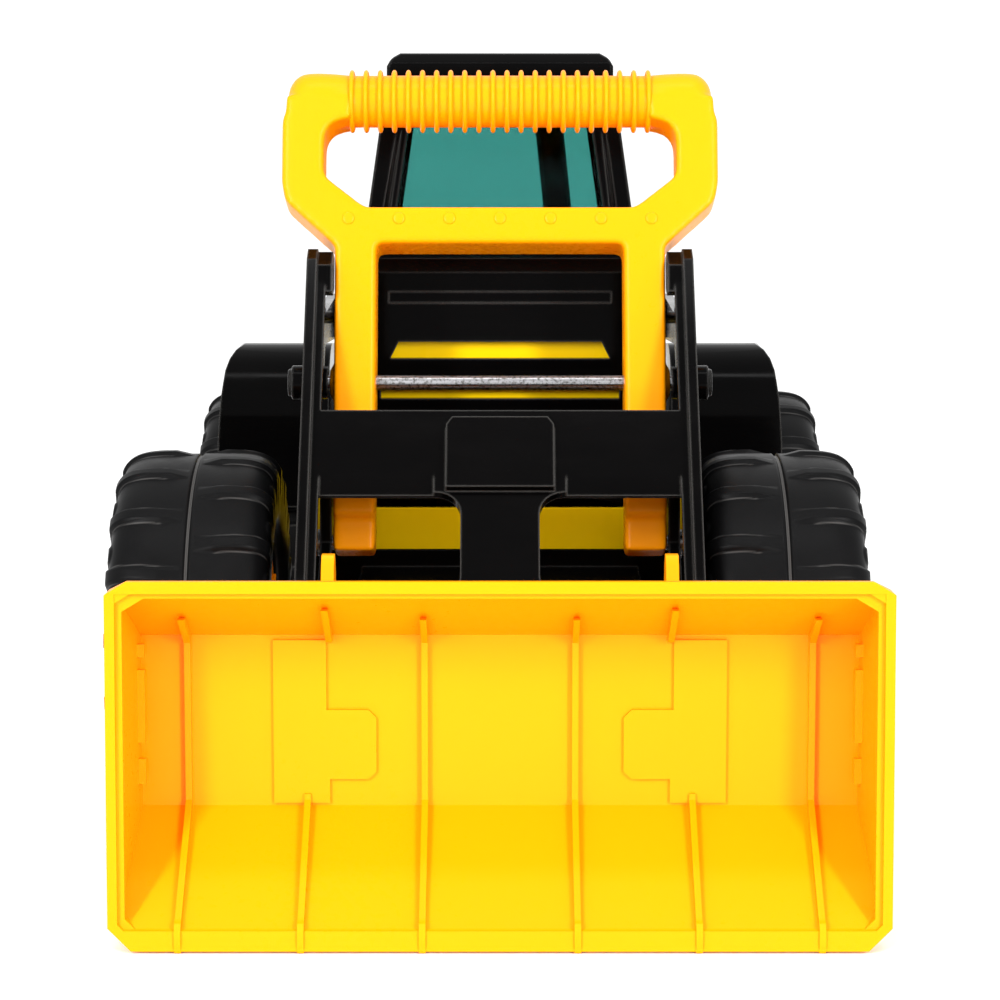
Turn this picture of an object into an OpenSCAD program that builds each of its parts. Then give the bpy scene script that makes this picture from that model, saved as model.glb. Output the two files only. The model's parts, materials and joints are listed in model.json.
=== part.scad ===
// Ride-by-hand toy front loader. Millimetres, +Z up, front towards -Y, driver's left at +X.
// Lengths along the machine are stations: 0 at the bucket's lip, growing towards the rear.

/* [Overall] */
// Length over bucket and rear bumper
machine_len = 455; // [450:1:470]
// Distance of the front axle behind the bucket's lip
front_axle_st = 151; // [150:0.5:153]
// Distance of the rear axle behind the bucket's lip
rear_axle_st = 375; // [372:1:378]
// Height of both axles over the floor
axle_z = 67.8; // [67.8:0.1:68.4]

/* [Wheels] */
// Radius over the tread lugs
tyre_r = 67.8; // [65.8:0.1:67.8]
// Width of a tyre
tyre_w = 54; // [48:1:54]
// Distance from the middle plane to a tyre's middle
half_track = 99; // [98:0.5:101]
// Sideways shift of each loose axle
axle_play = 4; // [0:0.5:4]
// Radius of the tyre's seat on the rim
rim_r = 39; // [34:1:42]
// Tread lugs on each half of a tyre
lug_count = 18; // [12:1:22]
// Radius of the axles
axle_r = 3; // [2.5:0.1:3.5]

/* [Bucket] */
// Width over the bucket's rim
bucket_w = 236; // [220:1:240]
// Height over the bucket's rim
bucket_h = 112.4; // [106:0.2:112.4]
// Depth from lip to back panel
bucket_d = 45; // [40:1:46]
// Wall of the bucket
bucket_wall = 3; // [2:0.1:3.5]

/* [Handle] */
// Distance from the rod up to the grip's axis
grip_t = 101; // [98:0.5:103]
// Radius of the grip
grip_r = 9.15; // [8:0.05:9.5]
// Thickness of the handle's frame
handle_thick = 20; // [12:0.5:20]
// Lean of the handle, in degrees from upright
handle_lean = 16; // [14:0.5:18]
// Rings on the grip
ring_count = 22; // [16:1:22]

/* [Hidden] */
$fn = 48;

running = 0.05;                 // radial clearance of a turning fit
body_yellow = [1, 0.86, 0.05];
gloss_black = [0.06, 0.06, 0.06];
steel = [0.75, 0.75, 0.77];

// Pivots as [station, height]
lift_pivot = [285, 173];        // arms on the chassis
rod_axis = [160, 158];          // handle on the arms
bucket_pivot = [62, 75];        // bucket on the arms
link_top = [146.7, 104];        // tilt link on the handle
link_low = [58, 34];            // tilt link on the bucket
rod_r = 2.6;
pin_r = 3;
link_pin_r = 2.5;

// Arm frame
arm_out = 66.5;                 // outer face of the side plates
arm_web = 3.5;                  // thickness of the side plates
arm_flange = 6.5;               // width of the front flanges
arm_base = [88, 103];           // lower end of the sloping front
arm_lean = 36.8;                // slope of the front from upright
arm_slope_len = 122;            // length of the sloping front
arm_front_thick = 4;
boss_r = 8.5;

// Handle outline, half widths and distances up from the rod
upright_in = 42.7;
upright_out = 57.2;
rod_boss_r = 5.6;
rod_boss_h = 1.8;               // how far the rod's bosses stand out of the uprights
side_out = 75.9;
gap_half = 60.7;
bar_low = 47.2;
bar_top = 60.3;
handle_end = -59.5;

// Cab outline
cab_low = 199;
cab_high = 262;
cab_front = 260;
cab_rear = 336;
cab_half = 52;
cab_taper = 9;                  // how far each side leans in at the top
cab_rake = 5;                   // how far front and rear lean in at the top
cab_wall = 3;

// Moves a body drawn in stations to the part's own frame
module placed() {
    translate([0, -machine_len / 2, 0]) children();
}

// Plate with the side outline pts [station, height] between x0 and x1
module slab(x0, x1, pts) {
    translate([x0, 0, 0]) rotate([90, 0, 90]) linear_extrude(x1 - x0) polygon(pts);
}

// Same plate on both sides of the machine
module pair(x0, x1, pts) {
    slab(x0, x1, pts);
    slab(-x1, -x0, pts);
}

// Box with its lower front corner at a station and a height, centred on the middle plane
module block(half, st, z, len, high) {
    translate([-half, st, z]) cube([2 * half, len, high]);
}

// Round bar across the machine
module crossbar(at, r, x0, x1) {
    translate([x0, at[0], at[1]]) rotate([0, 90, 0]) cylinder(r = r, h = x1 - x0);
}

// Round bars mirrored to both sides
module crossbar_pair(at, r, x0, x1) {
    crossbar(at, r, x0, x1);
    crossbar(at, r, -x1, -x0);
}

// Front view outline (x, distance up a leaning plane), from depth d0 behind the plane to d1 in front
module leaning(at, lean, d0, d1) {
    translate([0, at[0], at[1]]) rotate([90 - lean, 0, 0]) translate([0, 0, d0])
        linear_extrude(d1 - d0) children();
}

// Front view outline cut through from one station to another
module front_cut(st0, st1, pts) {
    translate([0, st1, 0]) rotate([90, 0, 0]) linear_extrude(st1 - st0) polygon(pts);
}

// ---- Chassis ----

module lower_chassis() {
    rail_in = 42;
    rail_out = 50;
    deck = [130, 80, 308, 7];   // station, height, length, thickness
    axles = [[front_axle_st, axle_z], [rear_axle_st, axle_z]];
    boss_out = [56, 60];
    color(gloss_black) placed() difference() {
        union() {
            block(rail_out, deck[0], deck[1], deck[2], deck[3]);
            pair(rail_in, rail_out, [[134, 56], [168, 56], [190, 46], [340, 46], [358, 56], [436, 56],
                                     [436, 81], [134, 81]]);
            for (i = [0, 1]) crossbar_pair(axles[i], 9, rail_in - 4, boss_out[i]);
            for (st = [196, 250, 304, 434]) block(rail_in + 1, st, 50, 4, 31);
            block(64, 203.4, 62, 4, 31.5);
        }
        for (i = [0, 1]) crossbar(axles[i], axle_r + running, -rail_out * 2, rail_out * 2);
        for (st = [215, 245, 275]) block(24, st, 79, 16, 9);
    }
}

module front_body() {
    wall = 3;
    wide = 67;
    low = 94;
    top = 109;
    side_top = 125;             // the wall stands higher beside the control tower
    st = 200;
    inner_st = 207.5;           // upper wall inside the control tower
    inner_top = 172;
    color(body_yellow) placed() union() {
        block(wide, st, low, wall, top - low);
        block(52.5, inner_st, top - wall, wall, inner_top - top + wall);
        difference() {
            block(61.5, st + 0.5, low + 0.5, 100.5, top - low - 0.7);
            block(58.5, st + wall, low - 1, 110, top - low - wall + 1);
        }
        pair(57.6, wide, [[st, low + 1], [st + wall, low + 1], [st + wall, side_top], [st, side_top]]);
        pair(64, wide, [[st, low], [st + 44, low], [st + 30, side_top], [st, side_top]]);
        pair(60, wide, [[st, low], [st + 43, low], [st + 43, low + 4], [st, low + 4]]);
    }
}

module rear_hood() {
    wall = 3;
    half = 56.5;
    low = 87;
    outer = [[337, low], [444, low], [446, 150], [438, 180], [426, 189], [337, 196]];
    inner = [[340, low - 1], [441, low - 1], [443, 149], [435.5, 178], [425, 186], [340, 193]];
    vent_count = 5;
    color(body_yellow) placed() difference() {
        slab(-half, half, outer);
        slab(-half + wall, half - wall, inner);
        front_cut(430, 450, [[-38, 112], [38, 112], [38, 150], [-38, 150]]);
        for (i = [0 : vent_count - 1]) {
            st = 362 + i * 10;
            pair(half - 1.2, half + 1, [[st, 140], [st + 5, 140], [st + 9, 172], [st + 4, 172]]);
        }
        stack_place() translate([0, 0, -4]) cylinder(r = stack_r + running, h = 20);
    }
}

// Rear mudguard at +X: an arched cover over the tyre with a rounded outer shoulder
module fender() {
    in = 57;
    arch_in = 67.5;
    crest = 159;
    low = 96;
    shell = 3;
    front_st = 302;
    bend = 28;                  // radius of the front corner
    corner = [front_st + bend, crest - bend];
    rear_edge = [[412, 152.5], [428, 148], [438, 138], [441, low]];
    inner_rear = [[411, 149.5], [426, 145], [435, 136.5], [438, low - 1]];
    arch = concat([[front_st, low]], corner_arc(corner, bend), rear_edge);
    inner_arch = concat([[front_st + shell, low - 1]], corner_arc(corner, bend - shell), inner_rear);
    flare = [[in, 90], [111.4, 90], [111.4, 122], [110.2, 139], [108.8, 149.7], [107.4, 154], [105.4, 157],
             [102.4, 159], [98, 160], [in, 160]];
    placed() difference() {
        union() {
            intersection() {
                slab(arch_in, 114, arch);
                front_cut(300, 445, flare);
            }
            slab(in, arch_in + 1, [[302, 96], [304, 128], [316, 144], [428, 140], [438, 128], [441, 96]]);
        }
        slab(arch_in + shell, 108, inner_arch);
        crossbar([rear_axle_st, axle_z], tyre_r + 3.5, 66.5, 120);
    }
}

// Quarter circle from the front round to the top, as [station, height] points
function corner_arc(middle, r) = [for (a = [180 : -10 : 90]) [middle[0] + r * cos(a), middle[1] + r * sin(a)]];

module fender_left() {
    color(gloss_black) fender();
}

module fender_right() {
    color(gloss_black) mirror([1, 0, 0]) fender();
}

module control_tower() {
    half = 57;
    front = 203.3;
    low = 109;
    top = 199;
    shell = 4;
    bevel = 5;
    slot_half = 36.5;
    slot_z = [163, 169];
    color(gloss_black) placed() difference() {
        union() {
            slab(-half, half, [[front, low], [front, top - bevel], [front + 3.5, top], [256, top], [256, low]]);
            block(56.8, 256, low, 81, top - low);
        }
        slab(-half + shell, half - shell, [[front + shell, low - 1], [front + shell, top - 2 * bevel],
                                           [253, top - 2 * bevel], [253, low - 1]]);
        block(cab_half - 4, 260, low - 1, 73, 88);
        front_cut(front - 1, front + shell + 1, [[-slot_half, slot_z[1]], [-slot_half - 3, slot_z[0]],
                                                 [slot_half + 3, slot_z[0]], [slot_half, slot_z[1]]]);
        front_cut(front - 1, front + shell + 1, [[-43, 148.5], [43, 148.5], [43, 151.5], [-43, 151.5]]);
        front_cut(front - 1, front + 0.8, [[-40, 183], [40, 183], [40, 187], [-40, 187]]);
        crossbar(lift_pivot, pin_r + running, -80, 80);
    }
}

// Solid of the cab, shrunk by d on every upright face
module cab_solid(d) {
    intersection() {
        front_cut(cab_front - 20, cab_rear + 20, [[-cab_half + d, cab_low], [cab_half - d, cab_low],
            [cab_half - cab_taper - d, cab_high], [-cab_half + cab_taper + d, cab_high]]);
        slab(-cab_half - 1, cab_half + 1, [[cab_front + d, cab_low], [cab_rear - d, cab_low],
            [cab_rear - cab_rake - d, cab_high], [cab_front + cab_rake + d, cab_high]]);
    }
}

window_low = cab_low + 9;
window_high = cab_high - 3;

module front_window_cut(st0, st1) {
    front_cut(st0, st1, [[-39.8, window_low], [39.8, window_low], [32.4, window_high], [-32.4, window_high]]);
}

module side_window_cut(x0, x1) {
    slab(x0, x1, [[cab_front + 9, window_low], [cab_rear - 9, window_low], [cab_rear - 13, window_high],
                  [cab_front + 13, window_high]]);
}

module cab_frame() {
    groove = 0.7;
    color(gloss_black) placed() difference() {
        cab_solid(0);
        difference() {
            cab_solid(cab_wall);
            block(60, cab_front, cab_low, 90, 2);
        }
        front_window_cut(cab_front - 10, cab_rear + 10);
        side_window_cut(-60, 60);
        for (side = [-1, 1]) front_cut(cab_front - 10, cab_front + 3 + groove,
            [[side * 44.6, window_low], [side * 42.8, window_low], [side * 35.6, window_high],
             [side * 37.4, window_high]]);
    }
}

module cab_roof() {
    half = 42.3;
    top = 273;
    color(gloss_black) placed() union() {
        intersection() {
            front_cut(240, 350, [[-half, cab_high], [half, cab_high], [half, 268], [half - 1.5, 271],
                [half - 5, top], [-half + 5, top], [-half + 1.5, 271], [-half, 268]]);
            slab(-half, half, [[254, cab_high], [341, cab_high], [341, 269], [336, top], [259, top], [254, 269]]);
        }
    }
}

// Shell that the cab's panes are cut from
module pane_shell() {
    difference() {
        cab_solid(0.9);
        cab_solid(2.2);
    }
}

module windscreen() {
    color([0.2, 0.6, 0.55, 0.5]) placed() intersection() {
        pane_shell();
        front_window_cut(cab_front - 5, cab_front + 10);
    }
}

module rear_window() {
    color([0.2, 0.6, 0.55, 0.5]) placed() intersection() {
        pane_shell();
        front_window_cut(cab_rear - 10, cab_rear + 5);
    }
}

module side_window_left() {
    color([0.2, 0.6, 0.55, 0.5]) placed() intersection() {
        pane_shell();
        side_window_cut(30, 60);
    }
}

module side_window_right() {
    color([0.2, 0.6, 0.55, 0.5]) placed() intersection() {
        pane_shell();
        side_window_cut(-60, -30);
    }
}

stack_r = 5.7;

module stack_place() {
    translate([26, 350, 187]) rotate([0, -6, 0]) children();
}

module exhaust_stack() {
    high = 66;
    color(gloss_black) placed() stack_place() difference() {
        union() {
            cylinder(r = stack_r, h = high);
            translate([0, 0, 11]) cylinder(r = stack_r + 1.6, h = 5);
        }
        translate([0, 0, high - 14]) cylinder(r = stack_r - 1.4, h = 20);
    }
}

module rear_grille() {
    half = 37.8;
    low = 112.2;
    high = 149.8;
    bars = 6;
    pitch = (high - low) / bars;
    color(gloss_black) placed() difference() {
        front_cut(440.5, 448.5, [[-half, low], [half, low], [half, high], [-half, high]]);
        for (i = [0 : bars - 1]) front_cut(445.5, 450,
            [[-half + 3, low + i * pitch + 1.6], [half - 3, low + i * pitch + 1.6],
             [half - 3, low + i * pitch + 4.8], [-half + 3, low + i * pitch + 4.8]]);
    }
}

module rear_bumper() {
    half = 64;
    color(gloss_black) placed() difference() {
        union() {
            slab(-half, half, [[445, 66], [machine_len - 3, 66], [machine_len, 70], [machine_len, 96],
                               [machine_len - 4, 102], [446, 102]]);
            slab(-46, 46, [[438, 60], [446, 60], [446, 80], [438, 80]]);
        }
        pair(22, 34, [[machine_len - 3, 76], [machine_len + 1, 76], [machine_len + 1, 92], [machine_len - 3, 92]]);
    }
}

module lift_pin() {
    placed() union() {
        crossbar(lift_pivot, pin_r, 50, 68.2);
        crossbar(lift_pivot, 6, 66.9, 69.4);
    }
}

module lift_pin_left() {
    color(steel) lift_pin();
}

module lift_pin_right() {
    color(steel) mirror([1, 0, 0]) lift_pin();
}

axle_half = half_track + 18;

module front_axle() {
    color(steel) placed() crossbar([front_axle_st, axle_z], axle_r, -axle_half - axle_play, axle_half - axle_play);
}

module rear_axle() {
    color(steel) placed() crossbar([rear_axle_st, axle_z], axle_r, -axle_half + axle_play, axle_half + axle_play);
}

// Push-on caps that hold the wheels on both axles
module axle_caps() {
    cap_r = 6;
    color(steel) placed() for (a = [[front_axle_st, -axle_play], [rear_axle_st, axle_play]], side = [-1, 1])
        translate([a[1], 0, 0]) difference() {
            crossbar([a[0], axle_z], cap_r, side * (axle_half - 1) - 2.2, side * (axle_half - 1) + 2.2);
            crossbar([a[0], axle_z], axle_r, -axle_half, axle_half);
        }
}

module chassis_screws() {
    head_r = 3.4;
    head_h = 2.4;
    color(steel) placed() for (st = [176, 236, 296, 402], side = [-1, 1])
        translate([side * 32, st, 80 - head_h]) difference() {
            cylinder(r = head_r, h = head_h);
            translate([-2.4, -0.5, -1]) cube([4.8, 1, 2]);
            translate([-0.5, -2.4, -1]) cube([1, 4.8, 2]);
        }
}

// ---- Lift arms ----

// Concave corner filler of radius r at a corner; up is 1 below an upper edge and -1 above a lower edge
module corner_fill(at, r, up) {
    overlap = 1;
    polygon(concat([[at[0] - overlap, at[1] + up * overlap], [at[0] - overlap, at[1] - up * r]],
        [for (a = [180 : -15 : 90]) [at[0] + r + r * cos(a), at[1] - up * (r - r * sin(a))]],
        [[at[0] + r, at[1] + up * overlap]]));
}

// Outline of the sloping front at +X: flange, cross plate and centre stem
module arm_front_half() {
    stem = 13;
    plate = [29.5, 61.2];       // lower and upper edge of the cross plate
    flange_in = arm_out - arm_flange;
    round_r = 8;
    low = -18;
    low_bar = 8;
    translate([flange_in, low]) square([arm_flange, arm_slope_len - low - 6]);
    translate([-1, plate[0]]) square([arm_out + 1, plate[1] - plate[0]]);
    translate([-1, low]) square([stem + 1, plate[0] - low + 1]);
    translate([-1, low]) square([arm_out + 1, low_bar]);
    corner_fill([stem, plate[0]], round_r, 1);
    corner_fill([stem, low + low_bar], round_r, -1);
}

// Point in the side view at a distance up the sloping front and in front of it
function on_slope(up, out) = [arm_base[0] + up * sin(arm_lean) - out * cos(arm_lean),
                              arm_base[1] + up * cos(arm_lean) + out * sin(arm_lean)];

module arm_frame() {
    plate = [[70, 68], [84, 74], [116, 88], [150, 92], [172, 112], [189, 150], [206, 168], [285, 164.5],
             [285, 181.5], [214, 179], [196, 185], [176, 201.5], [166, 204], [158, 201],
             [84, 104], [76, 92], [55, 82]];
    box_half = 18;
    web_in = arm_out - arm_web;
    color(gloss_black) placed() difference() {
        union() {
            leaning(arm_base, arm_lean, -arm_front_thick, 0) {
                arm_front_half();
                mirror([1, 0]) arm_front_half();
            }
            leaning(arm_base, arm_lean, -2, 3) polygon([[-box_half, 30], [box_half, 30], [box_half, 54],
                [box_half - 2, 57], [-box_half + 2, 57], [-box_half, 54]]);
            leaning(arm_base, arm_lean, -12, -2) translate([-61, 57]) square([122, 4]);
            pair(web_in, arm_out, plate);
            pair(57.8, arm_out - 1, [[157.5, 199], [166, 203], [175, 200.5], [171, 190], [164, 188], [154, 190]]);
            crossbar_pair(lift_pivot, boss_r, 60.6, arm_out);
            crossbar_pair(bucket_pivot, boss_r, 56.4, arm_out);
            crossbar_pair(rod_axis, rod_boss_r, 59.4, arm_out + 0.3);
        }
        crossbar(lift_pivot, pin_r + running, -80, 80);
        crossbar(bucket_pivot, pin_r + running, -80, 80);
        crossbar(rod_axis, rod_r + running, -80, 80);
        // bevel along the cross plate's lower edge
        pair(22, 59.9, [on_slope(28, 1), on_slope(36, 1), on_slope(36, 0), on_slope(29, -2.6), on_slope(28, -2.6)]);
    }
}

module handle_rod() {
    color(steel) placed() crossbar(rod_axis, rod_r, -71, 71);
}

module rod_cap() {
    placed() difference() {
        union() {
            crossbar(rod_axis, 6, arm_out + 0.4, 72);
            crossbar(rod_axis, 4.8, 72, 73.3);
        }
        crossbar(rod_axis, rod_r + running, 60, 71.1);
    }
}

module rod_cap_left() {
    color(gloss_black) rod_cap();
}

module rod_cap_right() {
    color(gloss_black) mirror([1, 0, 0]) rod_cap();
}

module bucket_pins() {
    color(steel) placed() union() {
        crossbar_pair(bucket_pivot, pin_r, 50, 68);
        crossbar_pair(bucket_pivot, 5, 66.6, 68.8);
    }
}

// ---- Handle ----

// Front outline of the handle's frame without the grip
module handle_outline() {
    side_mid = (gap_half + side_out) / 2;
    top_r = 9;
    for (side = [-1, 1]) scale_x(side) {
        polygon([[upright_in, 0], [upright_out, 0], [upright_out, bar_low], [side_out - 1.4, bar_top + 3.2],
                 [side_out, 68.5], [side_out, 92], [side_out - 1.5, 95], [side_out - 1.5, grip_t + 1],
                 [gap_half - 6, grip_t + 1], [gap_half - 6, grip_t - 6], [gap_half - 2, grip_t - 8],
                 [gap_half, grip_t - 11], [gap_half, 71.6], [46.5, bar_top], [upright_in, bar_top]]);
        translate([upright_in, handle_end]) square([upright_out - upright_in, -handle_end + 1]);
        translate([side_out - 1.5 - top_r, grip_t]) circle(r = top_r);
        translate([side_mid - 14, grip_t]) square([side_out - 1.5 - top_r - side_mid + 14, top_r]);
    }
    translate([-upright_out, bar_low]) square([2 * upright_out, bar_top - bar_low]);
}

module scale_x(side) {
    if (side > 0) children();
    else mirror([1, 0]) children();
}

// Whole handle in its own leaning frame: x across, y up from the rod, z forward
module handle_body() {
    pitch = 4.94;
    stud_count = 7;
    boss_mid = 2.8;             // half length of the bosses, partly sunk into the uprights
    difference() {
        union() {
            translate([0, 0, -handle_thick / 2]) linear_extrude(handle_thick) handle_outline();
            translate([-64, grip_t, 0]) rotate([0, 90, 0]) cylinder(r = grip_r, h = 128);
            for (side = [-1, 1]) translate([side * (upright_out + rod_boss_h - boss_mid) - boss_mid, 0, 0])
                rotate([0, 90, 0]) cylinder(r = rod_boss_r, h = 2 * boss_mid);
            for (i = [0 : ring_count - 1]) translate([(i - (ring_count - 1) / 2) * pitch - 0.9, grip_t, 0])
                rotate([0, 90, 0]) cylinder(r = grip_r + 1.85, h = 1.8);
            for (i = [0 : stud_count - 1]) translate([(i - 3) * 17.5, bar_top - 4.4, handle_thick / 2 - 1])
                cylinder(r = 2, h = 1.8);
        }
        translate([-80, 0, 0]) rotate([0, 90, 0]) cylinder(r = rod_r + running, h = 160);
        translate([-80, link_drop[1], link_drop[0]]) rotate([0, 90, 0]) cylinder(r = link_pin_r, h = 160);
        translate([-58, handle_end - 2, handle_thick / 2 - 3]) cube([116, 13.5, 4]);
    }
}

// Position of the tilt link's pin in the handle's leaning frame, as [forward, up]
link_off = link_top - rod_axis;
link_drop = [-link_off[0] * cos(handle_lean) + link_off[1] * sin(handle_lean),
             link_off[0] * sin(handle_lean) + link_off[1] * cos(handle_lean)];

module handle_place() {
    placed() translate([0, rod_axis[0], rod_axis[1]]) rotate([90 - handle_lean, 0, 0]) children();
}

module handle_front() {
    color(body_yellow) handle_place() intersection() {
        handle_body();
        translate([-100, -100, 0]) cube([200, 250, 40]);
    }
}

module handle_back() {
    color(body_yellow) handle_place() intersection() {
        handle_body();
        translate([-100, -100, -40]) cube([200, 250, 40]);
    }
}

module handle_screws() {
    head_h = 1.6;
    color(steel) handle_place() for (side = [-1, 1], at = [[68, 81], [50, 36], [50, -30]])
        translate([side * at[0], at[1], -handle_thick / 2 - head_h]) difference() {
            cylinder(r = 3.2, h = head_h);
            translate([-2.2, -0.45, -1]) cube([4.4, 0.9, 1.8]);
            translate([-0.45, -2.2, -1]) cube([0.9, 4.4, 1.8]);
        }
}

module link_pins() {
    color(steel) placed() union() {
        crossbar_pair(link_top, link_pin_r, 44, 62.2);
        crossbar_pair(link_top, 4.6, 61.8, 62.6);
    }
}

// ---- Bucket ----

lip = 0.6;                      // the lip's clearance over the floor and behind the rib noses

// Side outline of the bucket's inside, shrunk by d
function bucket_inside(d) = [[-4, lip + 5.5 + d], [3, lip + 6.5 + d], [bucket_d - 3 - d, 36 + d],
    [bucket_d - 3 - d, 90 - d], [7, bucket_h - 4 - d], [-4, bucket_h - 2.5 - d]];

// Plan outline of the bucket, shrunk by d: sides flare towards the mouth
function bucket_plan(d, st) = [[-bucket_w / 2 + d, st], [bucket_w / 2 - d, st],
    [bucket_w / 2 - d, 3], [bucket_w / 2 - 4 - d, bucket_d + 4], [-bucket_w / 2 + 4 + d, bucket_d + 4],
    [-bucket_w / 2 + d, 3]];

module bucket_inner(d) {
    intersection() {
        slab(-bucket_w, bucket_w, bucket_inside(d));
        linear_extrude(2 * bucket_h) polygon(bucket_plan(bucket_wall + d, -6));
    }
}

// Front outline of the rim, cut in by edge from the outside
function rim_outline(edge) = let (half = bucket_w / 2 - edge, low = edge, high = bucket_h - lip - edge,
                                  cut = 7 - edge / 2)
    [[-half + cut, low], [half - cut, low], [half, low + cut], [half, high - 4], [half - 6.6, high],
     [-half + 6.6, high], [-half, high - 4], [-half, low + cut]];

// Rim frame that leans back slightly; edge is how far it is cut in from the outside
module rim_frame(edge, band, back, front) {
    leaning([lip, lip], 2.2, -back, -front) difference() {
        polygon(rim_outline(edge));
        polygon(rim_outline(edge + band));
    }
}

module bucket() {
    rib_x = [23.4, 60, 97];
    rib_half = 1;
    rib_high = 2.2;
    bracket = [52, 56];
    outer = [[lip, lip], [14, lip], [bucket_d + 1, 34], [bucket_d + 1, 92], [6, bucket_h], [lip + 4, bucket_h]];
    color(body_yellow) placed() difference() {
        union() {
            difference() {
                intersection() {
                    slab(-bucket_w, bucket_w, outer);
                    linear_extrude(2 * bucket_h) polygon(bucket_plan(0, 0));
                    front_cut(-5, 60, [[-bucket_w / 2, 8], [-bucket_w / 2 + 7.4, lip], [bucket_w / 2 - 7.4, lip],
                        [bucket_w / 2, 8], [bucket_w / 2, bucket_h - 4], [bucket_w / 2 - 6.6, bucket_h],
                        [-bucket_w / 2 + 6.6, bucket_h], [-bucket_w / 2, bucket_h - 4]]);
                }
                bucket_inner(0);
            }
            rim_frame(0, 2.7, 3.5, 0);
            rim_frame(2.6, 2.5, 5, 1.4);
            intersection() {
                difference() {
                    bucket_inner(-0.5);
                    bucket_inner(rib_high);
                }
                union() {
                    for (x = rib_x, side = [-1, 1]) translate([side * x - rib_half, 2, 0])
                        cube([2 * rib_half, bucket_d, x == rib_x[1] ? 40 : 98]);
                    for (side = [-1, 1]) translate([side * 53 - rib_half, 5, 88]) cube([2 * rib_half, 40, 14]);
                    // strips along the side walls
                    for (z = [[44, 52], [57, 80], [84, 88]]) pair(bucket_w / 2 - 12, bucket_w,
                        [[bucket_d - 9, z[0]], [bucket_d - 7, z[0]], [bucket_d - 7, z[1]], [bucket_d - 9, z[1]]]);
                }
            }
            // rib noses over the lip, reaching the floor
            for (x = rib_x, side = [-1, 1]) slab(side * x - rib_half, side * x + rib_half,
                [[0, 2], [1, 0], [12, 0], [16, 3], [16, 10], [4, 10], [1.5, 9], [0, 6.5]]);
            // raised pads on the back panel
            for (side = [-1, 1]) intersection() {
                front_cut(bucket_d - 4.2, bucket_d - 2, [[side * 70.5, 88.5], [side * 54, 88.5], [side * 54, 66.5],
                    [side * 41, 66.5], [side * 38.5, 64], [side * 38.5, 47], [side * 41, 44.5], [side * 53, 44.5],
                    [side * 53, 37], [side * 70.5, 37]]);
                bucket_inner(-1);
            }
            // back brackets that carry the pivots
            pair(bracket[0], bracket[1], [[bucket_d, 30], [58, 25], [66, 30], [70, 66], [70, 82],
                                          [62, 110], [59, 113], [55, 113], [52, 110], [bucket_d, 92]]);
            pair(bracket[0] - 14, bracket[0], [[bucket_d, 72], [54, 72], [54, 78], [bucket_d, 78]]);
        }
        crossbar(bucket_pivot, pin_r + running, -60, 60);
        crossbar(link_low, link_pin_r, -60, 60);
    }
}

module bucket_link_pins() {
    color(steel) placed() union() {
        crossbar_pair(link_low, link_pin_r, 51, 62.2);
        crossbar_pair(link_low, 4.6, 61.9, 63.2);
    }
}

// ---- Tilt links ----

// Bar from the handle's pin to the bucket's pin; its lower eye leaves room for the linkage's play
module tilt_link() {
    x0 = 57.6;
    thick = 4;
    eye_r = 6;
    play = 1;
    span = link_top - link_low;
    len = norm(span);
    placed() translate([x0, link_low[0], link_low[1]]) rotate([90, 0, 90])
        rotate([0, 0, atan2(span[1], span[0])]) difference() {
            union() {
                translate([0, -4.5, 0]) cube([len, 9, thick]);
                cylinder(r = eye_r, h = thick);
                translate([len, 0, 0]) cylinder(r = eye_r, h = thick);
                translate([len, 0, 0]) rotate([0, 0, -atan2(span[1], span[0])]) translate([-eye_r, 0, 0])
                    cube([2 * eye_r, 27, thick]);
            }
            translate([0, 0, -1]) cylinder(r = link_pin_r + play, h = thick + 2);
            translate([len, 0, -1]) cylinder(r = link_pin_r + running, h = thick + 2);
        }
}

module tilt_link_left() {
    color(gloss_black) tilt_link();
}

module tilt_link_right() {
    color(gloss_black) mirror([1, 0, 0]) tilt_link();
}

// ---- Wheels ----

// Half section of the tyre's outside, from its middle to its side
function crown(r, w) = [[0, 0], [r, 0], [r, w * 0.35], [r - 1, w * 0.65], [r - 2.6, w * 0.85], [r - 6, w * 0.97],
    [r - 11, w], [0, w]];

// Wheel parts lie on the Z axis with their outer side up
module tyre() {
    half = tyre_w / 2;
    lug_high = 1.5;
    lug_w = 6;
    step = 360 / lug_count;
    difference() {
        union() {
            for (side = [0, 1]) mirror([0, 0, side]) {
                rotate_extrude($fn = 96) polygon(crown(tyre_r - lug_high, half));
                intersection() {
                    rotate_extrude($fn = 96) polygon(crown(tyre_r, half));
                    translate([0, 0, 1.5]) linear_extrude(half) for (i = [0 : lug_count - 1])
                        rotate((i + side / 2) * step) translate([tyre_r - 14, -lug_w / 2]) square([15, lug_w]);
                }
            }
        }
        translate([0, 0, -half - 1]) cylinder(r = rim_r, h = tyre_w + 2, $fn = 96);
    }
}

module rim() {
    half = tyre_w / 2;
    dish = 9;
    hub_r = 12;
    spokes = 6;
    difference() {
        union() {
            difference() {
                translate([0, 0, -half + 5]) cylinder(r = rim_r, h = tyre_w - 6, $fn = 96);
                translate([0, 0, half - dish]) cylinder(r = rim_r - 3.5, h = dish + 1);
                translate([0, 0, -half]) cylinder(r = rim_r - 3, h = tyre_w - dish - 4);
            }
            translate([0, 0, -half + 2]) cylinder(r = hub_r - 3, h = tyre_w - dish - 4);
            for (i = [0 : spokes - 1]) rotate(i * 360 / spokes) translate([hub_r - 4, -1.2, -half + 4])
                cube([rim_r - hub_r + 2.5, 2.4, tyre_w - dish - 6]);
        }
        translate([0, 0, -half - 6]) cylinder(r = axle_r + running, h = tyre_w + 20);
        translate([0, 0, half - dish - 3.2]) cylinder(r = hub_r - 2, h = dish + 4);
        for (i = [0 : spokes - 1]) rotate((i + 0.5) * 360 / spokes) translate([25, 0, half - dish - 6])
            cylinder(r = 4.5, h = 10);
    }
}

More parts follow.
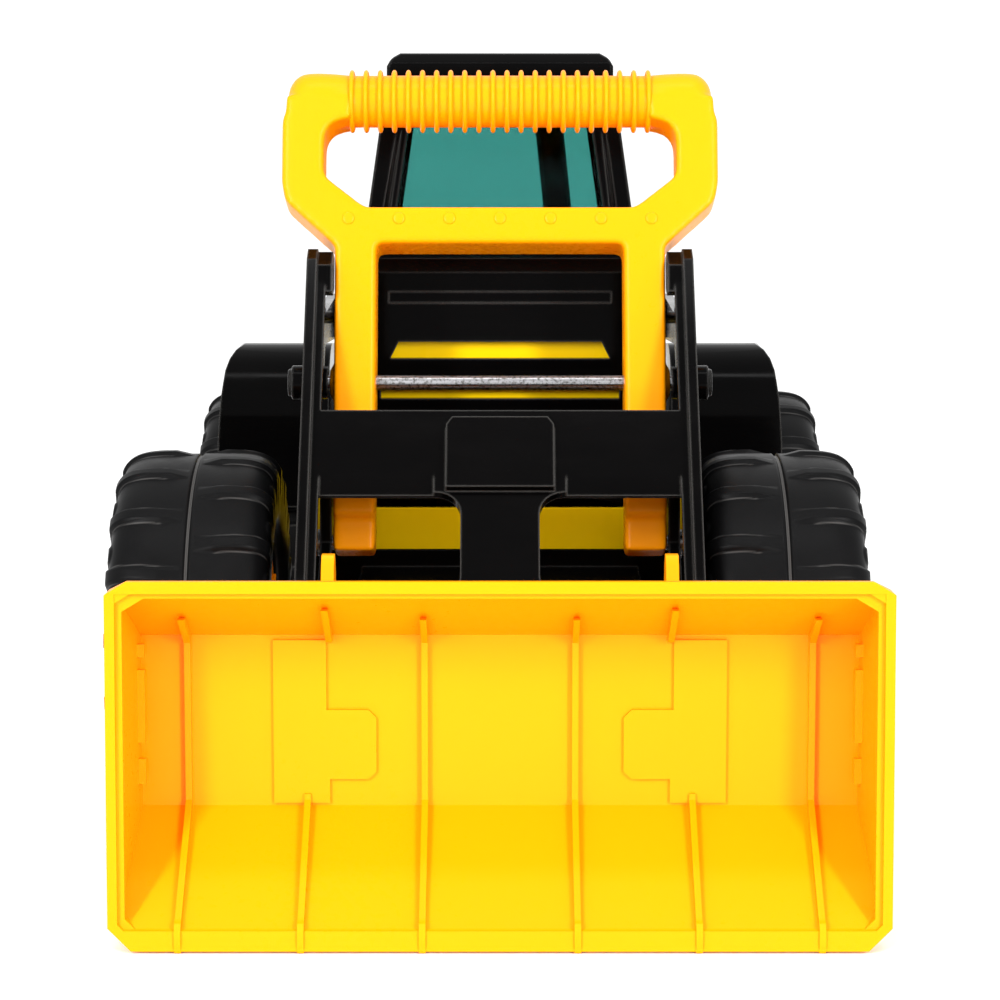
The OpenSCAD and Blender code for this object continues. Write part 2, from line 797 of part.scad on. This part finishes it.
module hub_cap() {
    half = tyre_w / 2;
    color(body_yellow) difference() {
        union() {
            translate([0, 0, half - 9]) cylinder(r = 16, h = 5);
            translate([0, 0, half - 4.2]) cylinder(r = 10, h = 3);
        }
        translate([0, 0, half - 10]) cylinder(r = 8.4, h = 6.6);
    }
}

// Puts a wheel part on an axle; side is 1 at +X and -1 at -X
module on_axle(st, side, shift) {
    placed() translate([side * half_track + shift, st, axle_z]) rotate([0, side * 90, 0]) children();
}

module on_front_left() {
    on_axle(front_axle_st, 1, -axle_play) children();
}

module on_front_right() {
    on_axle(front_axle_st, -1, -axle_play) children();
}

module on_rear_left() {
    on_axle(rear_axle_st, 1, axle_play) children();
}

module on_rear_right() {
    on_axle(rear_axle_st, -1, axle_play) children();
}

module tyre_at(where) {
    color([0.14, 0.14, 0.15]) wheel_place(where) tyre();
}

module rim_at(where) {
    color(body_yellow) wheel_place(where) rim();
}

module cap_at(where) {
    wheel_place(where) hub_cap();
}

module wheel_place(where) {
    if (where == "front_left") on_front_left() children();
    if (where == "front_right") on_front_right() children();
    if (where == "rear_left") on_rear_left() children();
    if (where == "rear_right") on_rear_right() children();
}

lower_chassis();
front_body();
rear_hood();
fender_left();
fender_right();
control_tower();
cab_frame();
cab_roof();
windscreen();
rear_window();
side_window_left();
side_window_right();
exhaust_stack();
rear_grille();
rear_bumper();
lift_pin_left();
lift_pin_right();
front_axle();
rear_axle();
axle_caps();
chassis_screws();
arm_frame();
handle_rod();
rod_cap_left();
rod_cap_right();
bucket_pins();
handle_front();
handle_back();
handle_screws();
link_pins();
bucket();
bucket_link_pins();
tilt_link_left();
tilt_link_right();
tyre_at("front_left");  // tyre_front_left
rim_at("front_left");  // rim_front_left
cap_at("front_left");  // hub_cap_front_left
tyre_at("front_right");  // tyre_front_right
rim_at("front_right");  // rim_front_right
cap_at("front_right");  // hub_cap_front_right
tyre_at("rear_left");  // tyre_rear_left
rim_at("rear_left");  // rim_rear_left
cap_at("rear_left");  // hub_cap_rear_left
tyre_at("rear_right");  // tyre_rear_right
rim_at("rear_right");  // rim_rear_right
cap_at("rear_right");  // hub_cap_rear_right
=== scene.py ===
import json
import math

import bpy
from mathutils import Matrix, Vector


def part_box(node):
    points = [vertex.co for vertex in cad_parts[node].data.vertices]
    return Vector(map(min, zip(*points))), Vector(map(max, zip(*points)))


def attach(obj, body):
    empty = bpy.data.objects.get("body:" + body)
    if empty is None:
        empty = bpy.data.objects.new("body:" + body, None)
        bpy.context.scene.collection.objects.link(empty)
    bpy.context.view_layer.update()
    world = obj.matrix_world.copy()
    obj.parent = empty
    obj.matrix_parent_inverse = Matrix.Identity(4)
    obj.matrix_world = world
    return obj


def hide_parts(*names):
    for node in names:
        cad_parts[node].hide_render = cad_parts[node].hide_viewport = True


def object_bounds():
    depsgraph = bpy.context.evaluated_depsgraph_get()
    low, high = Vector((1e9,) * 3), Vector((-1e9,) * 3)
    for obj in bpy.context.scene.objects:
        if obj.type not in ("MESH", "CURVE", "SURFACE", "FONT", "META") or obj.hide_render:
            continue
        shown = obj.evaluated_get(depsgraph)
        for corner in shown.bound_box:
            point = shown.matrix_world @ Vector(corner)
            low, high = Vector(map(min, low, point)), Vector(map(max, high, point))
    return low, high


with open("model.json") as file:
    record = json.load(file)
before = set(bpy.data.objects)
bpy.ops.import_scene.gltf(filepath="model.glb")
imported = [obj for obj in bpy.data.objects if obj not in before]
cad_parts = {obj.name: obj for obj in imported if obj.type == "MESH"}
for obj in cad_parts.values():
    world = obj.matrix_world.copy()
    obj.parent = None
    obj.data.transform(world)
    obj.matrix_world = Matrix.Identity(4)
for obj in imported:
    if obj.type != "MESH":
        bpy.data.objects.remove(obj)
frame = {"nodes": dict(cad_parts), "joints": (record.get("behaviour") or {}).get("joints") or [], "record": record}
cad_low, cad_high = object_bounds()

MM = 0.001
scene = bpy.context.scene
nodes = frame["nodes"]
joints = {j["name"]: j for j in frame["joints"]}


# ---- Camera, floor, room and light ----

LAMP_TARGET = (0, 0, 0.1)
# Name, place, width and length, watts
LAMPS = (
    ("key", (-0.85, -1.5, 0.85), (0.16, 0.9), 24),
    ("fill", (0.9, -1.5, 0.7), (0.16, 0.9), 22),
    ("top", (0, -0.5, 1.7), (1.2, 0.14), 6),
)
FLOOR_HALF = 60
FLOOR_GAP = 0.2 * MM


def add_camera():
    """Long lens from the front, a little above the cab, tilted down a few degrees."""
    distance_to_lip = 0.880
    height = 0.2503
    pitch_down = math.radians(7.3)
    data = bpy.data.cameras.new("camera")
    data.sensor_width = 36
    data.lens = 108.4
    camera = bpy.data.objects.new("camera", data)
    camera.location = (0, cad_low.y - distance_to_lip, height)
    camera.rotation_euler = (math.pi / 2 - pitch_down, 0, 0)
    scene.collection.objects.link(camera)
    scene.camera = camera


def add_floor(material):
    mesh = bpy.data.meshes.new("floor")
    corners = [(x * FLOOR_HALF, y * FLOOR_HALF, 0) for x, y in ((-1, -1), (1, -1), (1, 1), (-1, 1))]
    mesh.from_pydata(corners, [], [(0, 1, 2, 3)])
    mesh.materials.append(material)
    floor = bpy.data.objects.new("floor", mesh)
    scene.collection.objects.link(floor)
    floor.location.z = cad_low.z - FLOOR_GAP


def add_world():
    """White room, very slightly darker towards the front, where the black faces look."""
    world = bpy.data.worlds.new("studio")
    world.use_nodes = True
    tree = world.node_tree
    background = tree.nodes["Background"]
    coords = tree.nodes.new("ShaderNodeTexCoord")
    split = tree.nodes.new("ShaderNodeSeparateXYZ")
    front = tree.nodes.new("ShaderNodeMapRange")
    tree.links.new(coords.outputs["Generated"], split.inputs["Vector"])
    tree.links.new(split.outputs["Y"], front.inputs["Value"])
    for key, value in (("From Min", -0.75), ("From Max", 0.1), ("To Min", 1.15), ("To Max", 1.2)):
        front.inputs[key].default_value = value
    tree.links.new(front.outputs["Result"], background.inputs["Strength"])
    background.inputs["Color"].default_value = (1, 1, 1, 1)
    scene.world = world


def add_light(name, place, size, watts):
    data = bpy.data.lights.new(name, "AREA")
    data.shape = "RECTANGLE"
    data.size, data.size_y = size
    data.energy = watts
    lamp = bpy.data.objects.new(name, data)
    lamp.location = place
    lamp.rotation_euler = (Vector(LAMP_TARGET) - Vector(place)).to_track_quat("-Z", "Y").to_euler()
    scene.collection.objects.link(lamp)


# ---- Materials ----

class Shader:
    """A Principled material with helpers for the noise, painted edge highlights and bump that every surface gets.
    """

    def __init__(self, name, colour, roughness, metallic=0.0, ior=1.5):
        self.material = bpy.data.materials.new(name)
        self.material.use_nodes = True
        self.tree = self.material.node_tree
        self.nodes = self.tree.nodes
        self.main = self.nodes["Principled BSDF"]
        self.set("Base Color", (*colour, 1))
        self.set("Roughness", roughness)
        self.set("Metallic", metallic)
        self.set("IOR", ior)
        self.coords = self.nodes.new("ShaderNodeTexCoord").outputs["Object"]
        self.normal = None

    def set(self, socket, value):
        self.main.inputs[socket].default_value = value

    def link(self, a, b):
        self.tree.links.new(a, b)

    def noise(self, scale, detail=3.0, roughness=0.5, stretch=None):
        node = self.nodes.new("ShaderNodeTexNoise")
        node.inputs["Scale"].default_value = scale
        node.inputs["Detail"].default_value = detail
        node.inputs["Roughness"].default_value = roughness
        source = self.coords
        if stretch:
            mapping = self.nodes.new("ShaderNodeMapping")
            mapping.inputs["Scale"].default_value = stretch
            self.link(source, mapping.inputs["Vector"])
            source = mapping.outputs["Vector"]
        self.link(source, node.inputs["Vector"])
        return node.outputs["Fac"]

    def ramp(self, fac, low, high, start=0.0, end=1.0):
        node = self.nodes.new("ShaderNodeMapRange")
        self.link(fac, node.inputs["Value"])
        for key, value in (("From Min", low), ("From Max", high), ("To Min", start), ("To Max", end)):
            node.inputs[key].default_value = value
        return node.outputs["Result"]

    def mix(self, fac, a, b):
        """Colour a where the factor is 0, b where it is 1; each is a colour or an output."""
        node = self.nodes.new("ShaderNodeMix")
        node.data_type = "RGBA"
        self.link(fac, node.inputs["Factor"])
        for socket, value in ((node.inputs["A"], a), (node.inputs["B"], b)):
            if isinstance(value, tuple):
                socket.default_value = (*value, 1)
            else:
                self.link(value, socket)
        return node.outputs["Result"]

    def add(self, a, b):
        node = self.nodes.new("ShaderNodeMath")
        node.operation = "ADD"
        self.link(a, node.inputs[0])
        self.link(b, node.inputs[1])
        return node.outputs[0]

    def colour(self, output):
        self.link(output, self.main.inputs["Base Color"])

    def roughness(self, output):
        self.link(output, self.main.inputs["Roughness"])

    def bump(self, fac, distance, strength=1.0):
        """Adds one more layer of bump on top of those before it."""
        node = self.nodes.new("ShaderNodeBump")
        node.inputs["Distance"].default_value = distance
        node.inputs["Strength"].default_value = strength
        self.link(fac, node.inputs["Height"])
        if self.normal:
            self.link(self.normal, node.inputs["Normal"])
        self.normal = node.outputs["Normal"]
        self.link(self.normal, self.main.inputs["Normal"])

    def convex_edge_mask(self, amount):
        """Mask for a painted highlight: 1 on convex edges, 0 elsewhere, from the geometry itself."""
        node = self.nodes.new("ShaderNodeNewGeometry")
        return self.ramp(node.outputs["Pointiness"], 0.5 + amount * 0.4, 0.5 + amount)

    def edge_highlight_mask(self, radius):
        """Mask for a painted highlight: 1 within a radius of a sharp edge, 0 on open faces."""
        rounded = self.nodes.new("ShaderNodeBevel")
        rounded.samples = 4
        rounded.inputs["Radius"].default_value = radius
        face = self.nodes.new("ShaderNodeNewGeometry")
        dot = self.nodes.new("ShaderNodeVectorMath")
        dot.operation = "DOT_PRODUCT"
        self.link(rounded.outputs["Normal"], dot.inputs[0])
        self.link(face.outputs["Normal"], dot.inputs[1])
        return self.ramp(dot.outputs["Value"], 0.9, 0.995, 1, 0)


def yellow_plastic():
    """Orange base that the bright room brings up to the photo's yellow."""
    deep, pale = (0.95, 0.315, 0.001), (0.93, 0.3, 0.0008)
    s = Shader("yellow_plastic", (0.94, 0.31, 0.001), 0.3, ior=1.18)
    flow = s.noise(7, 1)
    speck = s.noise(420, 4, 0.6)
    s.colour(s.mix(s.ramp(flow, 0.3, 0.7), deep, pale))
    s.roughness(s.ramp(s.add(flow, speck), 0.7, 1.3, 0.26, 0.38))
    s.bump(s.noise(5, 1), 0.6 * MM, 0.1)
    s.bump(speck, 0.02 * MM, 0.3)
    return s.material


def yellow_steel():
    """Lemon paint with a fine orange-peel surface."""
    bright, dull = (0.95, 0.625, 0.0012), (0.93, 0.605, 0.001)
    s = Shader("yellow_steel", (0.94, 0.615, 0.0012), 0.28, ior=1.16)
    peel = s.noise(260, 2)
    s.colour(s.mix(s.noise(6, 1), bright, dull))
    s.roughness(s.ramp(s.noise(30, 2), 0.3, 0.7, 0.22, 0.32))
    s.bump(peel, 0.02 * MM, 0.3)
    s.bump(s.noise(4, 1), 0.8 * MM, 0.08)
    return s.material


def black_plastic():
    """Deep black with a little dust and a painted grey highlight along its edges."""
    dark, smeared = (0.0006, 0.0006, 0.0007), (0.0018, 0.0016, 0.0016)
    painted_edge_highlight, dust_grey = (0.045, 0.044, 0.042), (0.12, 0.11, 0.1)
    s = Shader("black_plastic", (0.001, 0.001, 0.001), 0.14, ior=1.105)
    smear = s.noise(24, 4, 0.6, (1, 1, 2.5))
    dust = s.ramp(s.noise(900, 5, 0.7), 0.68, 0.8)
    base = s.mix(smear, dark, smeared)
    # Painted highlight: grey on the faces within about a millimetre of a sharp edge.
    base = s.mix(s.edge_highlight_mask(1.1 * MM), base, painted_edge_highlight)
    s.colour(s.mix(s.ramp(dust, 0, 1, 0, 0.12), base, dust_grey))
    s.roughness(s.ramp(s.add(smear, dust), 0.35, 1.3, 0.1, 0.34))
    s.bump(s.noise(11, 1), 0.7 * MM, 0.16)
    s.bump(s.noise(500, 3), 0.02 * MM, 0.3)
    return s.material


def tyre_plastic():
    """Duller black, scuffed all over, with a painted grey highlight on the edges of the lugs."""
    dark, scuffed = (0.0015, 0.0015, 0.0016), (0.004, 0.004, 0.0043)
    painted_lug_edge_highlight = (0.06, 0.058, 0.056)
    s = Shader("tyre_plastic", (0.0025, 0.0025, 0.0026), 0.4, ior=1.15)
    scuff = s.noise(45, 6, 0.65)
    # Painted highlight: grey on the convex edges of the lugs.
    s.colour(s.mix(s.convex_edge_mask(0.04), s.mix(scuff, dark, scuffed), painted_lug_edge_highlight))
    s.roughness(s.ramp(scuff, 0.3, 0.75, 0.32, 0.5))
    s.bump(s.noise(800, 3), 0.04 * MM, 0.4)
    s.bump(scuff, 0.2 * MM, 0.16)
    return s.material


def bright_steel():
    """Plated steel with lines drawn along the rod and dark pits."""
    plated, pitted = (0.33, 0.33, 0.34), (0.1, 0.095, 0.09)
    s = Shader("bright_steel", (0.36, 0.36, 0.37), 0.25, metallic=1.0)
    drawn = s.noise(300, 4, 0.6, (0.04, 1, 1))
    pits = s.ramp(s.noise(900, 4, 0.65), 0.48, 0.62)
    s.colour(s.mix(pits, plated, pitted))
    s.roughness(s.ramp(drawn, 0.3, 0.7, 0.18, 0.4))
    s.bump(drawn, 0.05 * MM, 0.5)
    s.set("Anisotropic", 0.4)
    return s.material


def tinted_window():
    """Clear teal plastic with a faint haze."""
    deep, pale = (0.18, 0.47, 0.44), (0.21, 0.51, 0.475)
    s = Shader("tinted_window", (0.2, 0.53, 0.49), 0.02, ior=1.12)
    haze = s.noise(18, 3)
    s.colour(s.mix(haze, deep, pale))
    s.roughness(s.ramp(haze, 0.3, 0.7, 0.01, 0.04))
    s.bump(s.noise(12, 1), 0.2 * MM, 0.2)
    s.set("Transmission Weight", 1.0)
    return s.material


def floor_paint():
    white, soft_white = (0.95, 0.95, 0.95), (0.93, 0.93, 0.93)
    s = Shader("floor_paint", white, 0.7)
    s.colour(s.mix(s.noise(2, 2), white, soft_white))
    return s.material


MATERIALS = {
    "yellow_plastic": yellow_plastic(), "yellow_steel": yellow_steel(), "black_plastic": black_plastic(),
    "tyre_rubber": tyre_plastic(), "bright_steel": bright_steel(), "tinted_window": tinted_window(),
}


# ---- CAD nodes ----

# Bevel width asked for on each node, in millimetres. Small faces hold it back to a fraction of that on the
# bucket, arm frame, control tower, fenders, lower chassis and rims.
EDGE_ROUNDS = {
    "bucket": 0.45, "arm_frame": 1.0, "control_tower": 1.4, "cab_frame": 0.8, "cab_roof": 2.2,
    "fender_left": 2.4, "fender_right": 2.4, "rear_hood": 1.6, "front_body": 0.8, "rear_bumper": 1.8,
    "rear_grille": 0.6, "lower_chassis": 0.9, "exhaust_stack": 0.5, "rod_cap_left": 0.7,
    "rod_cap_right": 0.7, "tilt_link_left": 0.5, "tilt_link_right": 0.5,
}
RIM_ROUND = 0.7
WELD_DISTANCE = 0.01 * MM
FLAT_ANGLE = math.radians(0.6)
SHARP_ANGLE = math.radians(32)


def dress_node(name, slot):
    """Gives a CAD node its material."""
    mesh = nodes[name].data
    mesh.materials.clear()
    mesh.materials.append(MATERIALS[slot])


def round_edges(name, width):
    """Welds a CAD node's shading splits and bevels its edges as far as its smallest faces let it."""
    node = nodes[name]
    weld = node.modifiers.new("weld", "WELD")
    weld.merge_threshold = WELD_DISTANCE
    flat = node.modifiers.new("flat", "DECIMATE")
    flat.decimate_type = "DISSOLVE"
    flat.angle_limit = FLAT_ANGLE
    bevel = node.modifiers.new("round", "BEVEL")
    bevel.width = width * MM
    bevel.segments = 3
    bevel.limit_method = "ANGLE"
    bevel.angle_limit = SHARP_ANGLE
    bevel.harden_normals = False
    normal = node.modifiers.new("normals", "WEIGHTED_NORMAL")
    normal.weight = 100
    normal.keep_sharp = False


def dress_all():
    for entry in frame["record"]["subparts"]:
        dress_node(entry["node"], entry["material_slot"])
    for name, width in EDGE_ROUNDS.items():
        round_edges(name, width)
    for name in nodes:
        if name.startswith(("rim_", "hub_cap_")):
            round_edges(name, RIM_ROUND)


# ---- Helpers for pieces ----

def make_piece(name, vertices, faces, slot, body):
    mesh = bpy.data.meshes.new(name)
    mesh.from_pydata(vertices, [], faces)
    mesh.materials.append(MATERIALS[slot])
    mesh.polygons.foreach_set("use_smooth", [True] * len(mesh.polygons))
    mesh.update()
    piece = bpy.data.objects.new(name, mesh)
    scene.collection.objects.link(piece)
    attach(piece, body)
    return piece


def grid_faces(rows, columns, close_rows=False):
    """Quads over rows of closed rings of vertices."""
    faces = []
    for i in range(rows if close_rows else rows - 1):
        for j in range(columns):
            k = (j + 1) % columns
            n = (i + 1) % rows
            faces.append((i * columns + j, i * columns + k, n * columns + k, n * columns + j))
    return faces


def lathe(profile, matrix, steps=64, cap=True):
    """Surface turned about the local X axis from points of millimetres along and out."""
    vertices = []
    for x, r in profile:
        for j in range(steps):
            a = 2 * math.pi * j / steps
            vertices.append(matrix @ Vector((x * MM, r * MM * math.cos(a), r * MM * math.sin(a))))
    faces = grid_faces(len(profile), steps)
    if cap:
        faces.append(tuple(range(steps))[::-1])
        faces.append(tuple(range((len(profile) - 1) * steps, len(profile) * steps)))
    return vertices, faces


def extrude_loop(loop, back, front, matrix):
    """Plate with an outline in millimetres, from back to front in metres."""
    n = len(loop)
    vertices = [matrix @ Vector((x * MM, y * MM, z)) for z in (back, front) for x, y in loop]
    faces = [tuple(range(n))[::-1], tuple(range(n, 2 * n))]
    faces += [(i, (i + 1) % n, n + (i + 1) % n, n + i) for i in range(n)]
    return vertices, faces


def mirror_x(loop):
    return [(-x, y) for x, y in reversed(loop)]


def merge(parts):
    vertices, faces = [], []
    for vs, fs in parts:
        start = len(vertices)
        vertices += vs
        faces += [tuple(start + i for i in f) for f in fs]
    return vertices, faces


def smooth_step(low, high, x):
    t = min(1, max(0, (x - low) / (high - low)))
    return t * t * (3 - 2 * t)


# ---- Tyres ----

PLACES = ("front_left", "front_right", "rear_left", "rear_right")
LUGS = 18
RING_STEPS = LUGS * 32

TYRE_BASE_R = 66.2 * MM
TYRE_HALF = 26.6 * MM
WIDEST = 26.9 * MM
SHOULDER_R = 46 * MM
SHOULDER_POWER = 2 / 4.8
SHOULDER_START = 0.015
SHOULDER_STEPS = 44
LEAST_STEP = 0.2 * MM

# Across and radius in millimetres: across alone for the flat middle, then both for the bead and its seat
MIDDLE = (0, 0.35, 0.7, 1.1, 1.6, 2.4)
BEAD = ((25.9, 44), (25.2, 42.8), (23.6, 42.3), (22.9, 41.6), (22.7, 40.6), (22.5, 39.0))

LUG_HEIGHT = 1.45 * MM
LUG_RUN = (4.0 * MM, 42 * MM)
LUG_R = 2.6 * MM
LUG_EDGE = 0.45 * MM
LUG_FADE = (31 * MM, 38 * MM)
LUG_SLANT = 3.2
SLANT_PIVOT = 12 * MM
BLOCK_HEIGHT = 0.7 * MM
BLOCK_RUN = (27 * MM, 37 * MM)
BLOCK_R = 3.2 * MM
BLOCK_EDGE = 0.6 * MM
BLOCK_FADE = (34 * MM, 39 * MM)
GROOVE_DEPTH = 0.9 * MM
GROOVE_WALL = (0.4 * MM, 1.0 * MM)


def tyre_outline():
    """Points of across and radius, from the middle over the rounded shoulder to the rim seat."""
    points = [(w * MM, TYRE_BASE_R - 0.01 * MM * w) for w in MIDDLE]
    for i in range(1, SHOULDER_STEPS + 1):
        share = SHOULDER_START + (1 - SHOULDER_START) * i / SHOULDER_STEPS
        phi = math.pi / 2 * share
        w = TYRE_HALF * math.sin(phi) ** SHOULDER_POWER
        r = SHOULDER_R + (TYRE_BASE_R - SHOULDER_R) * max(0, math.cos(phi)) ** SHOULDER_POWER
        if w > points[-1][0] + LEAST_STEP or r < points[-1][1] - LEAST_STEP:
            points.append((w, r))
    return points + [(w * MM, r * MM) for w, r in BEAD]


def tyre_section():
    """Half section from the middle to the seat as [across, radius, normal across, normal out, run]."""
    points = tyre_outline()
    run = 0
    section = []
    for i, (w, r) in enumerate(points):
        before = points[max(0, i - 1)]
        after = points[min(len(points) - 1, i + 1)]
        dw, dr = after[0] - before[0], after[1] - before[1]
        size = math.hypot(dw, dr)
        if i:
            run += math.hypot(w - before[0], r - before[1])
        section.append((w, r, -dr / size, dw / size, run))
    return section


def bar_height(run, turn, ends, radius, edge):
    """1 inside a round-ended bar that runs across the tread, 0 outside it."""
    along = max(ends[0] + radius - run, 0, run - ends[1])
    gap = math.hypot(along, turn) - radius
    return 1 - smooth_step(-edge, edge, gap)


def tread_height(run, radius, angle, side):
    """How far the tread stands out of the carcass: slanted lugs, blocks between them, a middle groove."""
    pitch = 2 * math.pi / LUGS
    phase = angle / pitch + (0 if side > 0 else 0.5)
    slant = LUG_SLANT * (run - SLANT_PIVOT)
    from_lug = ((phase + slant) % 1 - 0.5) * pitch * radius
    from_block = ((phase + 0.5) % 1 - 0.5) * pitch * radius
    lug = bar_height(run, from_lug, LUG_RUN, LUG_R, LUG_EDGE) * (1 - smooth_step(*LUG_FADE, run))
    block = bar_height(run, from_block, BLOCK_RUN, BLOCK_R, BLOCK_EDGE) * (1 - smooth_step(*BLOCK_FADE, run))
    groove = 1 - smooth_step(*GROOVE_WALL, run)
    return LUG_HEIGHT * lug + BLOCK_HEIGHT * block - GROOVE_DEPTH * groove


def make_tyre(place):
    node = "tyre_" + place
    low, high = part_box(node)
    centre = (low + high) / 2
    outward = 1 if centre.x > 0 else -1
    half = tyre_section()
    rows = [(-1, p) for p in reversed(half[1:])] + [(1, p) for p in half]
    vertices = []
    for side, (w, r, nw, nr, run) in rows:
        for j in range(RING_STEPS):
            angle = 2 * math.pi * j / RING_STEPS
            h = tread_height(run, r, angle, side)
            across = side * min(w + nw * h, WIDEST)
            out = r + nr * h
            vertices.append((centre.x + outward * across, centre.y + out * math.cos(angle),
                             centre.z + out * math.sin(angle)))
    faces = grid_faces(len(rows), RING_STEPS, close_rows=True)
    if outward > 0:
        faces = [f[::-1] for f in faces]
    tyre = make_piece("visual_" + node, vertices, faces, "tyre_rubber", "wheel_" + place)
    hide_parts(node)


# ---- Handle ----

HANDLE_LEAN = math.radians(16)
FRAME_HALF = 10 * MM
FOOT_STEP = 3 * MM

# Outlines in millimetres from the rod: the bent right side piece, its upright and foot, and the bar
SIDE_PIECE = [
    (57.15, 46.6), (73.8, 61.8), (75.1, 64.6), (75.3, 67.6), (75.85, 68.6), (75.85, 92), (74.6, 94.4),
    (74.4, 100.5), (52, 100.5), (52, 92.2), (54.6, 91.8), (57.4, 91), (59.6, 89.2), (60.8, 86.8),
    (61.2, 84), (61.2, 73), (60.2, 70.8), (47.8, 61), (45.6, 60.3), (42.7, 60.3), (42.7, 46.6),
]
UPRIGHT = [(42.75, -48), (57.15, -48), (57.15, 55), (42.75, 55)]
FOOT = [(42.75, -59.45), (57.15, -59.45), (57.15, -47), (42.75, -47)]
BAR = [(-50, 47.5), (50, 47.5), (50, 60.3), (-50, 60.3)]

# The round parts, in millimetres: the tube with its rounded end, and the pivot pins on the rod's line
GRIP_UP = 100.6
GRIP_R = 9.15
GRIP_END = [
    (74.3, 2.4), (73.6, 5.2), (71.8, 7.8), (69.4, 9.4), (66.6, 9.9), (62, 9.9), (57, 9.6), (53, GRIP_R),
]
PIN_R = 5.5
PIN_ENDS = (50, 58.9)

RING_COUNT = 22
RING_PITCH = 4.94
RING_R = 11.0
RING_HALF = 0.95
RING_ROOT = GRIP_R - 0.3

STUD_COUNT = 7
STUD_PITCH = 17.5
STUD_UP = 56.1
STUD_BASE = 9.65
STUD_PROFILE = [(-0.3, 2.2), (0.35, 2.25), (0.6, 1.95), (0.7, 1.2), (0.7, 0.3)]

VOXEL = 0.8 * MM
SOFTEN_STEPS = 24


def handle_matrix():
    """Handle's own frame: x across, y up the handle from the rod, z forward."""
    rod = Vector(joints["handle_tilt"]["pos_m"])
    return Matrix.Translation(rod) @ Matrix.Rotation(math.pi / 2 - HANDLE_LEAN, 4, "X")


def handle_shift(x, y, z):
    """A move by millimetres in the handle's own frame."""
    return handle_matrix() @ Matrix.Translation((x * MM, y * MM, z * MM))


def make_handle_frame():
    """Side pieces, bar and grip tube, joined and softened into one moulding."""
    matrix = handle_matrix()
    parts = []
    for loop, front in ((SIDE_PIECE, FRAME_HALF), (UPRIGHT, FRAME_HALF), (FOOT, FRAME_HALF - FOOT_STEP)):
        for side in (loop, mirror_x(loop)):
            parts.append(extrude_loop(side, -FRAME_HALF, front, matrix))
    parts.append(extrude_loop(BAR, -FRAME_HALF, FRAME_HALF, matrix))
    tube = [(-x, r) for x, r in GRIP_END] + GRIP_END[::-1]
    parts.append(lathe(tube, handle_shift(0, GRIP_UP, 0)))
    for ends in ([-x for x in reversed(PIN_ENDS)], PIN_ENDS):
        parts.append(lathe([(x, PIN_R) for x in ends], matrix, 32))
    handle = make_piece("visual_handle", *merge(parts), "yellow_plastic", "handle")
    voxels = handle.modifiers.new("voxels", "REMESH")
    voxels.mode = "VOXEL"
    voxels.voxel_size = VOXEL
    voxels.use_smooth_shade = True
    soft = handle.modifiers.new("soften", "SMOOTH")
    soft.factor = 0.5
    soft.iterations = SOFTEN_STEPS
    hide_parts("handle_front", "handle_back")


def ring_profile(middle):
    """Half-round rib about the grip, from root to root."""
    angles = [math.pi * k / 8 for k in range(9)]
    return [(middle - RING_HALF * math.cos(a), RING_ROOT + (RING_R - RING_ROOT) * math.sin(a) ** 0.6)
            for a in angles]


def make_grip_rings():
    """Rings along the grip and the row of studs on the bar."""
    parts = []
    for i in range(RING_COUNT):
        middle = (i - (RING_COUNT - 1) / 2) * RING_PITCH
        parts.append(lathe(ring_profile(middle), handle_shift(0, GRIP_UP, 0), cap=False))
    facing_out = Matrix.Rotation(-math.pi / 2, 4, "Y")
    for i in range(STUD_COUNT):
        across = (i - STUD_COUNT // 2) * STUD_PITCH
        parts.append(lathe(STUD_PROFILE, handle_shift(across, STUD_UP, STUD_BASE) @ facing_out, 24))
    make_piece("visual_grip_rings", *merge(parts), "yellow_plastic", "handle")


# ---- Assembly ----

scene.view_settings.view_transform = "Standard"
dress_all()
for place in PLACES:
    make_tyre(place)
make_handle_frame()
make_grip_rings()
add_world()
add_camera()
add_floor(floor_paint())
for lamp in LAMPS:
    add_light(*lamp)
